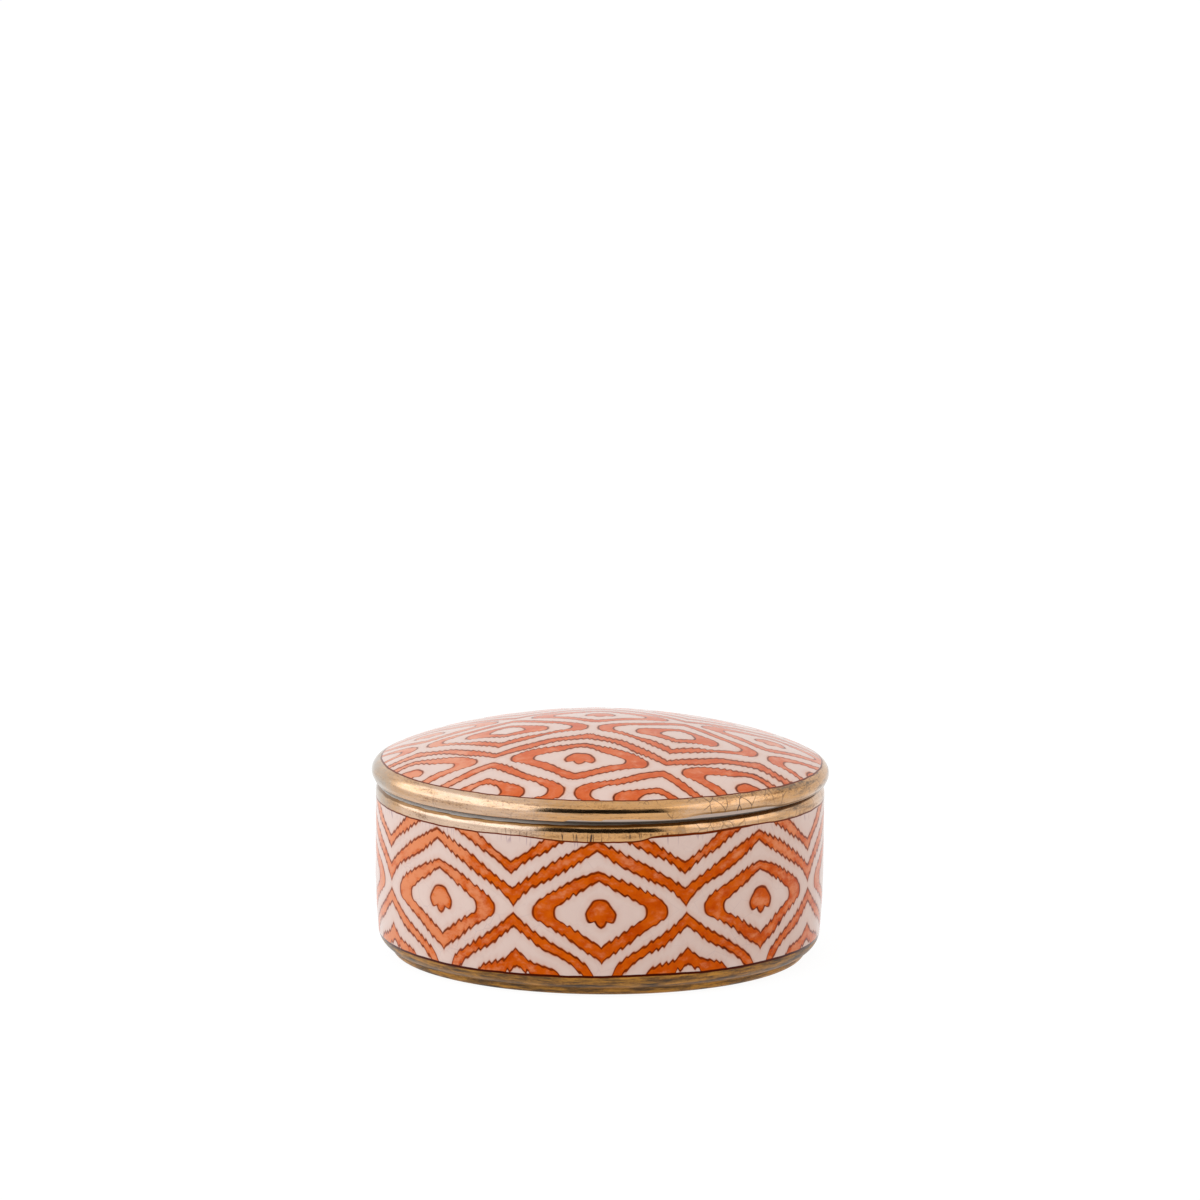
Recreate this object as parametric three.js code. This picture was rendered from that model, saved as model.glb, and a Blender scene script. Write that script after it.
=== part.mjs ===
// Round ceramic trinket box: a nearly straight-walled bowl on a low foot ring, and a shallow
// domed lid with a fat rim bead. The lid stands on the bowl's mouth, and a flange under it
// drops into the mouth and keeps it centred. Both pieces are turned about the same axis.
// Millimetres, +Z up. The origin is where that axis meets the surface that the box stands on.
// The gold on the rims and the foot is a lustre fired onto the glaze, so it has no solid here.

import * as THREE from 'three';

// Bowl, outside
const WALL_RADIUS = 73.6;
const BOWL_HEIGHT = 57.5;
const WALL_DRAW_IN = 0.95; // how much narrower the wall is where it turns under
const WALL_FULL_HEIGHT = 30; // above this height the wall is straight
const HEEL_RADIUS = 6.5; // where the wall turns under to the foot
const MOUTH_EDGE_RADIUS = 3.7; // the lip rolls in under the lid's bead

// Bowl, inside
const WALL_THICKNESS = 5.4;
const FLOOR_THICKNESS = 5;
const FLOOR_CORNER_RADIUS = 9;
const MOUTH_INNER_EDGE_RADIUS = 0.9;

// Foot ring
const FOOT_INSET = 4.5; // from the wall's lowest radius to the ring
const FOOT_HEIGHT = 2.3; // from the table to the corner under the heel
const FOOT_WIDTH = 6.4;
const FOOT_OUTER_EDGE_RADIUS = 1.9;
const FOOT_INNER_EDGE_RADIUS = 0.9;
const RECESS_DEPTH = 3;
const RECESS_CORNER_RADIUS = 1.4;

// Lid, outside
const BEAD_OVERHANG = 1.4; // how far the bead stands out past the bowl's wall
const BEAD_DEPTH = 5.6; // from the middle of the bead's section to its outermost point
const BEAD_HALF_HEIGHT = 4.25;
const BEAD_CENTRE_LIFT = 2.95; // height of the bead's widest line above the seat
const DOME_EDGE_INSET = 2.7; // from the bead's outermost point in to where the dome begins
const DOME_RISE = 14; // from that edge to the top
const DOME_CURVE = [1.12, -0.26, -0.12, 0.26]; // shares of the rise in r^2, r^4, r^6, r^8
const LID_EDGE_RADIUS = 0.8;

// Lid, inside
const DOME_THICKNESS = 5;
const FLANGE_CLEARANCE = 0.7; // between the flange and the bowl's mouth, all round
const FLANGE_THICKNESS = 3.4;
const FLANGE_DEPTH = 5;
const FLANGE_EDGE_RADIUS = 1.1;
const CROWN_CORNER_RADIUS = 4;

// Facets
const TURNS = 72;
const DOME_STEPS = 12;

// Fired glaze seen in the photograph: a warm pinkish white, glossy
const GLAZE_COLOUR = 0xdec6ba;
const GLAZE_ROUGHNESS = 0.22;

// Sizes that follow from those above
const MOUTH_RADIUS = WALL_RADIUS - WALL_THICKNESS;
const SEAT_HEIGHT = BOWL_HEIGHT;
const FLOOR_HEIGHT = RECESS_DEPTH + FLOOR_THICKNESS;
const HEEL_WALL_RADIUS = WALL_RADIUS - WALL_DRAW_IN;
const FOOT_RADIUS = HEEL_WALL_RADIUS - FOOT_INSET;
const BEAD_RADIUS = WALL_RADIUS + BEAD_OVERHANG;
const DOME_EDGE_RADIUS = BEAD_RADIUS - DOME_EDGE_INSET;
const QUARTER = Math.PI / 2;

// Adds the points of an arc, ends included, about a centre in the plane of the section.
function addArc(outline, centreR, centreZ, radiusR, radiusZ, start, end, steps) {
  for (let i = 0; i <= steps; i += 1) {
    const angle = start + ((end - start) * i) / steps;
    const r = centreR + radiusR * Math.cos(angle);
    outline.push(new THREE.Vector2(r, centreZ + radiusZ * Math.sin(angle)));
  }
}

function addRound(outline, centreR, centreZ, radius, start, end, steps) {
  addArc(outline, centreR, centreZ, radius, radius, start, end, steps);
}

// The wall draws in to its heel along a parabola that starts where the wall stops being straight.
function wallCurve(startR, startZ, endR, endZ) {
  const middle = new THREE.Vector2(Math.max(startR, endR), (startZ + endZ) / 2);
  const curve = new THREE.QuadraticBezierCurve(
    new THREE.Vector2(startR, startZ),
    middle,
    new THREE.Vector2(endR, endZ),
  );
  return curve.getPoints(4);
}

// Height of the heel's centre, from the corner where the heel meets the foot ring.
function heelCentreHeight() {
  const reach = FOOT_RADIUS - (HEEL_WALL_RADIUS - HEEL_RADIUS);
  return FOOT_HEIGHT + Math.sqrt(HEEL_RADIUS ** 2 - reach ** 2);
}

// From the middle of the recess under the floor, out over the ring that the box stands on.
function addFoot(outline) {
  const innerRadius = FOOT_RADIUS - FOOT_WIDTH;
  const recessR = innerRadius - RECESS_CORNER_RADIUS;
  const recessZ = RECESS_DEPTH - RECESS_CORNER_RADIUS;
  const innerEdgeR = innerRadius + FOOT_INNER_EDGE_RADIUS;
  const outerEdgeR = FOOT_RADIUS - FOOT_OUTER_EDGE_RADIUS;
  outline.push(new THREE.Vector2(0, RECESS_DEPTH));
  addRound(outline, recessR, recessZ, RECESS_CORNER_RADIUS, QUARTER, 0, 3);
  addRound(outline, innerEdgeR, FOOT_INNER_EDGE_RADIUS, FOOT_INNER_EDGE_RADIUS, -2 * QUARTER, -QUARTER, 3);
  addRound(outline, outerEdgeR, FOOT_OUTER_EDGE_RADIUS, FOOT_OUTER_EDGE_RADIUS, -QUARTER, 0, 4);
}

// Up the outside, from the corner over the foot ring to the mouth.
function addOuterWall(outline) {
  const heelR = HEEL_WALL_RADIUS - HEEL_RADIUS;
  const heelZ = heelCentreHeight();
  const heelStart = -Math.acos((FOOT_RADIUS - heelR) / HEEL_RADIUS);
  addRound(outline, heelR, heelZ, HEEL_RADIUS, heelStart, 0, 6);
  outline.push(...wallCurve(HEEL_WALL_RADIUS, heelZ, WALL_RADIUS, WALL_FULL_HEIGHT).slice(1));
  const edgeR = WALL_RADIUS - MOUTH_EDGE_RADIUS;
  addRound(outline, edgeR, BOWL_HEIGHT - MOUTH_EDGE_RADIUS, MOUTH_EDGE_RADIUS, 0, QUARTER, 5);
}

// Over the mouth's inner edge, down the inside and in to the middle of the floor.
function addInside(outline) {
  const edgeR = MOUTH_RADIUS + MOUTH_INNER_EDGE_RADIUS;
  const edgeZ = BOWL_HEIGHT - MOUTH_INNER_EDGE_RADIUS;
  const cornerWallR = HEEL_WALL_RADIUS - WALL_THICKNESS;
  const cornerZ = FLOOR_HEIGHT + FLOOR_CORNER_RADIUS;
  addRound(outline, edgeR, edgeZ, MOUTH_INNER_EDGE_RADIUS, QUARTER, 2 * QUARTER, 3);
  outline.push(...wallCurve(MOUTH_RADIUS, WALL_FULL_HEIGHT, cornerWallR, cornerZ));
  addRound(outline, cornerWallR - FLOOR_CORNER_RADIUS, cornerZ, FLOOR_CORNER_RADIUS, 0, -QUARTER, 6);
  outline.push(new THREE.Vector2(0, FLOOR_HEIGHT));
}

function bowlOutline() {
  const outline = [];
  addFoot(outline);
  addOuterWall(outline);
  addInside(outline);
  return outline;
}

// Height of the dome's outer face. It falls away from the top a little faster than a sphere's
// cap does, and stands a little above one near the bead.
function domeHeight(r) {
  const share = (r / DOME_EDGE_RADIUS) ** 2;
  const drop = DOME_CURVE.reduce((sum, part, i) => sum + part * share ** (i + 1), 0);
  return beadHeightAt(DOME_EDGE_RADIUS) + DOME_RISE * (1 - drop);
}

// The bead's section is part of an ellipse. These give its middle and its upper face.
function beadCentre() {
  return { r: BEAD_RADIUS - BEAD_DEPTH, z: SEAT_HEIGHT + BEAD_CENTRE_LIFT };
}

function beadAngleAt(r) {
  return Math.acos((r - beadCentre().r) / BEAD_DEPTH);
}

function beadHeightAt(r) {
  return beadCentre().z + BEAD_HALF_HEIGHT * Math.sin(beadAngleAt(r));
}

// The hollow under the crown and the flange that hangs from it, out to the flange's outer foot.
function addHollow(outline) {
  const flangeR = MOUTH_RADIUS - FLANGE_CLEARANCE;
  const innerR = flangeR - FLANGE_THICKNESS;
  const cornerR = innerR - CROWN_CORNER_RADIUS;
  const cornerZ = domeHeight(cornerR) - DOME_THICKNESS - CROWN_CORNER_RADIUS;
  const footZ = SEAT_HEIGHT - FLANGE_DEPTH + FLANGE_EDGE_RADIUS;
  for (let i = 0; i < DOME_STEPS; i += 1) {
    const r = (cornerR * i) / DOME_STEPS;
    outline.push(new THREE.Vector2(r, domeHeight(r) - DOME_THICKNESS));
  }
  addRound(outline, cornerR, cornerZ, CROWN_CORNER_RADIUS, QUARTER, 0, 4);
  addRound(outline, innerR + FLANGE_EDGE_RADIUS, footZ, FLANGE_EDGE_RADIUS, -2 * QUARTER, -QUARTER, 3);
  addRound(outline, flangeR - FLANGE_EDGE_RADIUS, footZ, FLANGE_EDGE_RADIUS, -QUARTER, 0, 3);
  outline.push(new THREE.Vector2(flangeR, SEAT_HEIGHT));
}

// The flat that stands on the mouth, the bead round it, and the dome's outer face to its top.
function addBeadAndDome(outline) {
  const centre = beadCentre();
  const edgeZ = SEAT_HEIGHT + LID_EDGE_RADIUS;
  const beadStart = Math.asin((edgeZ - centre.z) / BEAD_HALF_HEIGHT);
  const edgeR = centre.r + BEAD_DEPTH * Math.cos(beadStart) - LID_EDGE_RADIUS;
  const beadEnd = beadAngleAt(DOME_EDGE_RADIUS);
  addRound(outline, edgeR, edgeZ, LID_EDGE_RADIUS, -QUARTER, 0, 3);
  addArc(outline, centre.r, centre.z, BEAD_DEPTH, BEAD_HALF_HEIGHT, beadStart, beadEnd, 8);
  for (let i = DOME_STEPS - 1; i >= 0; i -= 1) {
    const r = (DOME_EDGE_RADIUS * i) / DOME_STEPS;
    outline.push(new THREE.Vector2(r, domeHeight(r)));
  }
}

function lidOutline() {
  const outline = [];
  addHollow(outline);
  addBeadAndDome(outline);
  return outline;
}

// Drops each point that repeats the one before it, where two stretches of an outline meet.
function withoutRepeats(outline) {
  return outline.filter((point, i) => i === 0 || point.distanceTo(outline[i - 1]) > 1e-6);
}

// Turns an outline about the vertical axis into one named ceramic piece.
function turned(name, outline) {
  const geometry = new THREE.LatheGeometry(withoutRepeats(outline), TURNS);
  geometry.rotateX(QUARTER);
  const material = new THREE.MeshStandardMaterial({
    color: GLAZE_COLOUR,
    roughness: GLAZE_ROUGHNESS,
    metalness: 0,
  });
  const mesh = new THREE.Mesh(geometry, material);
  mesh.name = name;
  return mesh;
}

const trinketBox = new THREE.Group();
trinketBox.name = 'trinket_box';
trinketBox.add(turned('bowl', bowlOutline()));
trinketBox.add(turned('lid', lidOutline()));

export default trinketBox;
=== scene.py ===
"""Looks of a round ceramic trinket box: glazed bowl and domed lid, painted and gilded by hand.

The bowl and the lid are turned about Z in metres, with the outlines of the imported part. The orange
lozenge pattern, the gold lustre and the crackle belong to the glaze, so materials draw them.
"""

import logging
import math
from collections.abc import Callable
from dataclasses import dataclass
from enum import Enum
from typing import Union

import bmesh
import bpy
from mathutils import Matrix, Vector

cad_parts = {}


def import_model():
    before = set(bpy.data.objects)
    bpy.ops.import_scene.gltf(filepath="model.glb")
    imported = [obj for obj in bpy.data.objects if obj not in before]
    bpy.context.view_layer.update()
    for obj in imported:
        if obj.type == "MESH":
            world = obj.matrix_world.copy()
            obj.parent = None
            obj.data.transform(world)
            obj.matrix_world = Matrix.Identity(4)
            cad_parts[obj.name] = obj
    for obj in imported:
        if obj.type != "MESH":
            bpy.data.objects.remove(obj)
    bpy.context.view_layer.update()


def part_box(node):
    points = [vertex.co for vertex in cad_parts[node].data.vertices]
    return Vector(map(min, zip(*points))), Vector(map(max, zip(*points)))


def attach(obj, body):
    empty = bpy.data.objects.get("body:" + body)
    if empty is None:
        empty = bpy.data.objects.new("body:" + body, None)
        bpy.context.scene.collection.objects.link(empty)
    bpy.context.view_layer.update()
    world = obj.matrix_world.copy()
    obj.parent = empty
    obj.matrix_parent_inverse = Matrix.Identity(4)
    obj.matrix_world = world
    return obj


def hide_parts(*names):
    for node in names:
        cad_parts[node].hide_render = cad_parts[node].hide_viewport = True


LOG = logging.getLogger("trinket_box")

MM = 0.001
QUARTER = math.pi / 2
TURNS = 288  # facets round each turned piece
WALL_RADIUS = 73.6  # of the bowl, in millimetres
MOUTH_HEIGHT = 57.5  # where the lid stands on the bowl, in millimetres
SOFT_EDGE = 0.08  # half the width over which the gold's edge fades, in millimetres
WHITE = (1.0, 1.0, 1.0, 1.0)

Point = tuple[float, float]
Point3 = tuple[float, float, float]
Rgba = tuple[float, float, float, float]
Number = Union["Field", float]
Paint = Union["Colour", Rgba]


class Surface(Enum):
    """The finishes of a turned piece, by the place of their material on the mesh."""

    PAINTED = 0
    PLAIN = 1
    BISQUE = 2


def linear(red: int, green: int, blue: int) -> Rgba:
    """Turns a screen colour into the linear colour that a shader takes.

    Args:
        red: Red, 0 to 255.
        green: Green, 0 to 255.
        blue: Blue, 0 to 255.

    Returns:
        The linear colour with an alpha of 1.
    """

    def straight(level: int) -> float:
        """Returns one channel without its screen curve."""
        share = level / 255
        return share / 12.92 if share <= 0.04045 else ((share + 0.055) / 1.055) ** 2.4

    return straight(red), straight(green), straight(blue), 1.0


# Shapes


class TurnedPiece:
    """A solid of revolution, drawn as an outline in the plane of X and Z and turned about Z."""

    def __init__(self, radius: float, height: float) -> None:
        """Starts the outline.

        Args:
            radius: Distance of the first point from the axis, in metres.
            height: Height of the first point, in metres.
        """
        self.solid = bmesh.new()
        self._begin(radius, height)

    def _begin(self, radius: float, height: float) -> None:
        """Starts a new stretch of outline at a point."""
        self.outline = bmesh.new()
        self.tip = self.outline.verts.new((radius, 0, height))

    def line_to(self, radius: float, height: float) -> None:
        """Draws a straight line to a point, unless the outline is there already."""
        place = Vector((radius, 0, height))
        if (place - self.tip.co).length < 1e-7:
            return
        drawn = bmesh.ops.extrude_vert_indiv(self.outline, verts=[self.tip])
        self.tip = drawn["verts"][0]
        self.tip.co = place

    def round_corner(self, centre: Point, turn: float, steps: int) -> None:
        """Draws an arc from the outline's end.

        Args:
            centre: Radius and height of the arc's centre, in metres.
            turn: Angle of the arc, in radians. Above 0 it goes from outwards to upwards.
            steps: Number of facets along the arc.
        """
        drawn = bmesh.ops.spin(
            self.outline,
            geom=[self.tip],
            cent=(centre[0], 0, centre[1]),
            axis=(0, -1, 0),
            angle=turn,
            steps=steps,
            use_merge=False,
        )
        self.tip = next(part for part in drawn["geom_last"] if isinstance(part, bmesh.types.BMVert))

    def curve(self, point_at: Callable[[float], Point], steps: int) -> None:
        """Draws a curve by its formula.

        Args:
            point_at: Gives the radius and height at each share of the way, 0 to 1.
            steps: Number of facets along the curve.
        """
        for step in range(1, steps + 1):
            self.line_to(*point_at(step / steps))

    def turn(self, surface: Surface) -> None:
        """Turns the outline drawn so far into a finished face of the solid, and goes on from its end.

        Args:
            surface: The finish of that face.
        """
        end = self.tip.co.copy()
        bmesh.ops.spin(
            self.outline,
            geom=self.outline.verts[:] + self.outline.edges[:],
            cent=(0, 0, 0),
            axis=(0, 0, 1),
            angle=math.tau,
            steps=TURNS,
            use_merge=True,
        )
        for face in self.outline.faces:
            face.material_index = surface.value
            face.smooth = True
        stretch = bpy.data.meshes.new("stretch")
        self.outline.to_mesh(stretch)
        self.solid.from_mesh(stretch)
        self.outline.free()
        bpy.data.meshes.remove(stretch)
        self._begin(end.x, end.z)

    def finished(self, name: str) -> bpy.types.Object:
        """Closes the solid at its poles and between its faces, and puts it in the scene.

        Args:
            name: Name of the piece.

        Returns:
            The piece, at the origin and with its place in its mesh.
        """
        bmesh.ops.remove_doubles(self.solid, verts=self.solid.verts[:], dist=2e-7)
        bmesh.ops.recalc_face_normals(self.solid, faces=self.solid.faces[:])
        mesh = bpy.data.meshes.new(name)
        self.solid.to_mesh(mesh)
        self.solid.free()
        self.outline.free()
        piece = bpy.data.objects.new(name, mesh)
        bpy.context.scene.collection.objects.link(piece)
        return piece


# Numbers and colours that a material works out at each point


@dataclass(frozen=True)
class Field:
    """A number that a material works out at each point of a surface."""

    tree: bpy.types.NodeTree
    socket: bpy.types.NodeSocket

    def _math(self, operation: str, *others: Number) -> "Field":
        """Feeds this number and others to a Math node.

        Args:
            operation: Name of the node's operation.
            others: The node's other numbers, in order.

        Returns:
            What the node works out.
        """
        node = self.tree.nodes.new("ShaderNodeMath")
        node.operation = operation
        for place, value in zip(node.inputs, (self, *others)):
            feed(value, place)
        return Field(self.tree, node.outputs[0])

    def __add__(self, other: Number) -> "Field":
        """Adds a number."""
        return self._math("ADD", other)

    def __sub__(self, other: Number) -> "Field":
        """Takes a number away."""
        return self._math("SUBTRACT", other)

    def __rsub__(self, other: float) -> "Field":
        """Is taken away from a constant."""
        return (self * -1.0) + other

    def __mul__(self, other: Number) -> "Field":
        """Multiplies by a number."""
        return self._math("MULTIPLY", other)

    def __truediv__(self, other: Number) -> "Field":
        """Divides by a number."""
        return self._math("DIVIDE", other)

    def __abs__(self) -> "Field":
        """Drops the sign."""
        return self._math("ABSOLUTE")

    def least(self, other: Number) -> "Field":
        """Returns the smaller of the two numbers."""
        return self._math("MINIMUM", other)

    def most(self, other: Number) -> "Field":
        """Returns the larger of the two numbers."""
        return self._math("MAXIMUM", other)

    def past_whole(self) -> "Field":
        """Returns the part after the decimal point, from 0 to 1 for numbers below 0 too."""
        return self._math("FRACT")

    def nearest_whole(self) -> "Field":
        """Rounds to a whole number."""
        return self._math("ROUND")

    def sine(self) -> "Field":
        """Returns the sine of this angle in radians."""
        return self._math("SINE")

    def sign(self) -> "Field":
        """Returns 1 above 0 and -1 below it."""
        return self._math("SIGN")

    def length_with(self, other: "Field") -> "Field":
        """Returns the length of a line with these two numbers as its sides."""
        return (self * self + other * other)._math("SQRT")

    def direction_from(self, other: "Field") -> "Field":
        """Returns the angle, in degrees, that this rise and the other number's run make."""
        return self._math("ARCTAN2", other) * (180 / math.pi)

    def fade(self, start: float, end: float, low: float = 0.0, high: float = 1.0) -> "Field":
        """Goes smoothly from one number to another over a range, and stays there outside it.

        Args:
            start: Where the result is low.
            end: Where the result is high.
            low: The result at start.
            high: The result at end.

        Returns:
            The number between low and high.
        """
        node = self.tree.nodes.new("ShaderNodeMapRange")
        node.interpolation_type = "SMOOTHSTEP"
        for place, value in zip(node.inputs, (self, start, end, low, high)):
            feed(value, place)
        return Field(self.tree, node.outputs["Result"])

    def along(self, line: "Line") -> "Field":
        """Reads a drawn line at this number.

        Args:
            line: The line to read.

        Returns:
            The line's height there.
        """
        node = self.tree.nodes.new("ShaderNodeFloatCurve")
        line.draw_on(node.mapping)
        node.inputs["Factor"].default_value = 1.0
        feed((self - line.start) / (line.end - line.start), node.inputs["Value"])
        return Field(self.tree, node.outputs[0]) * (line.high - line.low) + line.low


def feed(value: Number, place: bpy.types.NodeSocket) -> None:
    """Links a number that varies to a node's socket, or sets the socket to a constant.

    Args:
        value: The number.
        place: The socket that takes it.
    """
    if isinstance(value, Field):
        value.tree.links.new(value.socket, place)
    else:
        place.default_value = value


class Line:
    """A line drawn through a few places, which a material can read."""

    def __init__(self, *places: Point, sharp: bool = False) -> None:
        """Takes the places in order of their first number.

        Args:
            places: Where the line passes.
            sharp: Whether it turns sharply at each place and not in a curve.
        """
        self.places = places
        self.sharp = sharp
        self.start, self.end = places[0][0], places[-1][0]
        self.low = min(place[1] for place in places)
        self.high = max(place[1] for place in places)

    def draw_on(self, mapping: bpy.types.CurveMapping) -> None:
        """Puts the line's places on a curve node, which takes shares from 0 to 1."""
        curve = mapping.curves[0]
        mapping.extend = "HORIZONTAL"
        for _ in range(len(self.places) - 2):
            curve.points.new(0.5, 0.5)
        for point, (across, height) in zip(curve.points, self.places):
            share = (across - self.start) / (self.end - self.start)
            point.location = (share, (height - self.low) / (self.high - self.low))
            point.handle_type = "VECTOR" if self.sharp else "AUTO"
        mapping.update()


@dataclass(frozen=True)
class Place:
    """Where a point of the box is, in millimetres and degrees, from its Object coordinates."""

    tree: bpy.types.NodeTree
    whole: bpy.types.NodeSocket
    x: Field
    y: Field
    z: Field

    @classmethod
    def of(cls, tree: bpy.types.NodeTree) -> "Place":
        """Adds the nodes that read the place of a point.

        Args:
            tree: The material's nodes.

        Returns:
            The place.
        """
        source = tree.nodes.new("ShaderNodeTexCoord")
        scaled = tree.nodes.new("ShaderNodeVectorMath")
        scaled.operation = "SCALE"
        scaled.inputs["Scale"].default_value = 1 / MM
        tree.links.new(source.outputs["Object"], scaled.inputs[0])
        parts = tree.nodes.new("ShaderNodeSeparateXYZ")
        tree.links.new(scaled.outputs[0], parts.inputs[0])
        x, y, z = (Field(tree, part) for part in parts.outputs)
        return cls(tree, scaled.outputs[0], x, y, z)

    def radius(self) -> Field:
        """Returns the distance from the axis, in millimetres."""
        return self.x.length_with(self.y)

    def bearing(self) -> Field:
        """Returns the angle round the axis, in degrees, 0 at the front and growing to the right."""
        return self.x.direction_from(self.y * -1.0)

    def _stretched(self, stretch: Point3) -> bpy.types.NodeSocket:
        """Returns the place with each coordinate divided by its own length."""
        node = self.tree.nodes.new("ShaderNodeVectorMath")
        node.operation = "DIVIDE"
        self.tree.links.new(self.whole, node.inputs[0])
        node.inputs[1].default_value = stretch
        return node.outputs[0]

    def clouds(
        self, size: float, detail: float = 1.0, rough: float = 0.5, flat: float = 1.0, salt: float = 0.0
    ) -> Field:
        """Returns a cloudy number, mostly from -1 to 1.

        Args:
            size: Size of the clouds, in millimetres.
            detail: How many finer layers there are.
            rough: Strength of the finer layers.
            flat: How many times lower than wide the clouds are.
            salt: A number that gives each use clouds of its own.

        Returns:
            The cloudy number.
        """
        node = self.tree.nodes.new("ShaderNodeTexNoise")
        node.noise_dimensions = "4D" if salt else "3D"
        node.inputs["Scale"].default_value = 1.0
        node.inputs["Detail"].default_value = detail
        node.inputs["Roughness"].default_value = rough
        if salt:
            node.inputs["W"].default_value = salt
        spread = self._stretched((size, size, size / flat))
        self.tree.links.new(spread, node.inputs["Vector"])
        return (Field(self.tree, node.outputs[0]) - 0.5) * 4.0

    def crackle(self, size: float, tall: float = 1.0) -> Field:
        """Returns the distance to the nearest crack, in cells.

        Args:
            size: Width of the cells between the cracks, in millimetres.
            tall: How many times taller than wide the cells are.

        Returns:
            The distance, 0 on a crack.
        """
        node = self.tree.nodes.new("ShaderNodeTexVoronoi")
        node.feature = "DISTANCE_TO_EDGE"
        node.inputs["Scale"].default_value = 1.0
        self.tree.links.new(self._stretched((size, size, size * tall)), node.inputs["Vector"])
        return Field(self.tree, node.outputs[0])


@dataclass(frozen=True)
class Colour:
    """A colour that a material works out at each point of a surface."""

    tree: bpy.types.NodeTree
    socket: bpy.types.NodeSocket

    @classmethod
    def blend(cls, tree: bpy.types.NodeTree, under: Paint, over: Paint, amount: Field) -> "Colour":
        """Lays one colour over another.

        Args:
            tree: The material's nodes.
            under: The colour below.
            over: The colour on top.
            amount: How much the top colour covers, 0 to 1.

        Returns:
            The blended colour.
        """
        node = tree.nodes.new("ShaderNodeMix")
        node.data_type = "RGBA"
        feed(amount, node.inputs[0])
        for paint, place in ((under, node.inputs[6]), (over, node.inputs[7])):
            if isinstance(paint, Colour):
                tree.links.new(paint.socket, place)
            else:
                place.default_value = paint
        return cls(tree, node.outputs[2])

    def under(self, over: Paint, amount: Field) -> "Colour":
        """Returns this colour with another one laid over it."""
        return Colour.blend(self.tree, self, over, amount)


# The painted pattern


@dataclass(frozen=True)
class Serration:
    """The small teeth along the edges of the strokes, as on ikat cloth."""

    pitch: float = 2.3
    depth: float = 0.64
    lean: float = 0.14  # how much steeper one side of a tooth is

    def wave(self, along: Field, shift: Field) -> Field:
        """Returns the teeth, mostly from -0.5 to 0.5, along a stroke.

        Args:
            along: Distance along the stroke, in millimetres.
            shift: How far the teeth are moved, in teeth.

        Returns:
            The height of the teeth.
        """
        turn = (along / self.pitch + shift) * math.tau
        return turn.sine() * 0.5 + (turn * 2.0).sine() * (self.lean / 2)


class Outline(Line):
    """A closed shape about a centre, as its reach in each direction from the front to the back."""

    slanting = 0.9  # its edge slants across the reach, so it is nearer than the reach tells

    def distance(self, run: Field, rise: Field) -> Field:
        """Returns how far outside the shape a point is, in millimetres.

        Args:
            run: Distance from the centre to the side, in millimetres, never below 0.
            rise: Distance from the centre upwards or to the back, in millimetres.

        Returns:
            The distance, below 0 inside.
        """
        return (run.length_with(rise) - rise.direction_from(run).along(self)) * self.slanting

    def ring(self, hole: "Outline", run: Field, rise: Field) -> Field:
        """Returns how far outside the ring between this shape and a hole in it a point is.

        Args:
            hole: The smaller shape that stays white.
            run: Distance from the centre to the side, in millimetres, never below 0.
            rise: Distance from the centre upwards or to the back, in millimetres.

        Returns:
            The distance, below 0 on the ring.
        """
        return self.distance(run, rise).most(hole.distance(run, rise) * -1.0)


@dataclass(frozen=True)
class Stroke:
    """An open stroke of the brush between two drawn edges."""

    lower: Line
    upper: Line
    slanting: float = 0.8  # the edges slant, so they are nearer than their heights tell

    def distance(self, across: Field, height: Field) -> Field:
        """Returns how far outside the stroke a point is, in millimetres.

        Args:
            across: Where the point is along the lines.
            height: Height of the point.

        Returns:
            The distance, below 0 inside.
        """
        below = across.along(self.lower) - height
        above = height - across.along(self.upper)
        return below.most(above) * self.slanting


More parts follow.
